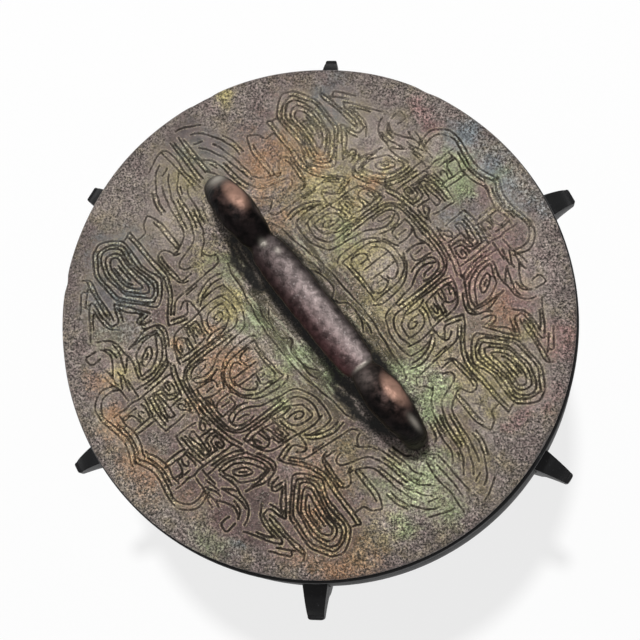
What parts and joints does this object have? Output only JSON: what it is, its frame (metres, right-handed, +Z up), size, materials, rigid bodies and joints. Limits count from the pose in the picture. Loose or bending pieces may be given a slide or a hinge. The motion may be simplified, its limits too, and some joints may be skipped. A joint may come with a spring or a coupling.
{
  "type": "tripod incense burner",
  "caption": "Covered round bronze censer on three column legs, with radial flanges and a flat lid lifted by a bridge handle.",
  "frame": {"origin": "on the floor under the middle of the bowl, at the centre of the box's bottom", "axes": "+Z up through the lid; +Y 1.6 degrees past the first leg and its flange, anticlockwise seen from above; +X to the right"},
  "size_m": [0.1227, 0.1384, 0.1296],
  "materials": {
    "vessel_black": "cast bronze, blackened, satin with fine pits",
    "lid_patina": "cast bronze, brown with ochre and verdigris patina, grainy",
    "handle_bronze": "cast bronze, dark red-brown, rubbed to copper on the raised ends"
  },
  "bodies": {
    "vessel": {"bowl": "vessel_black", "leg_1": "vessel_black", "leg_2": "vessel_black", "leg_3": "vessel_black", "leg_flange_1": "vessel_black", "leg_flange_2": "vessel_black", "leg_flange_3": "vessel_black", "side_flange_1": "vessel_black", "side_flange_2": "vessel_black", "side_flange_3": "vessel_black"},
    "lid": {"lid_plate": "lid_patina", "bridge_handle": "handle_bronze"}
  },
  "joints": [
    {"name": "lid_lift", "type": "slide", "parent": "vessel", "child": "lid", "axis": [0, 0, 1], "range_m": [0, 0.06]}
  ]
}
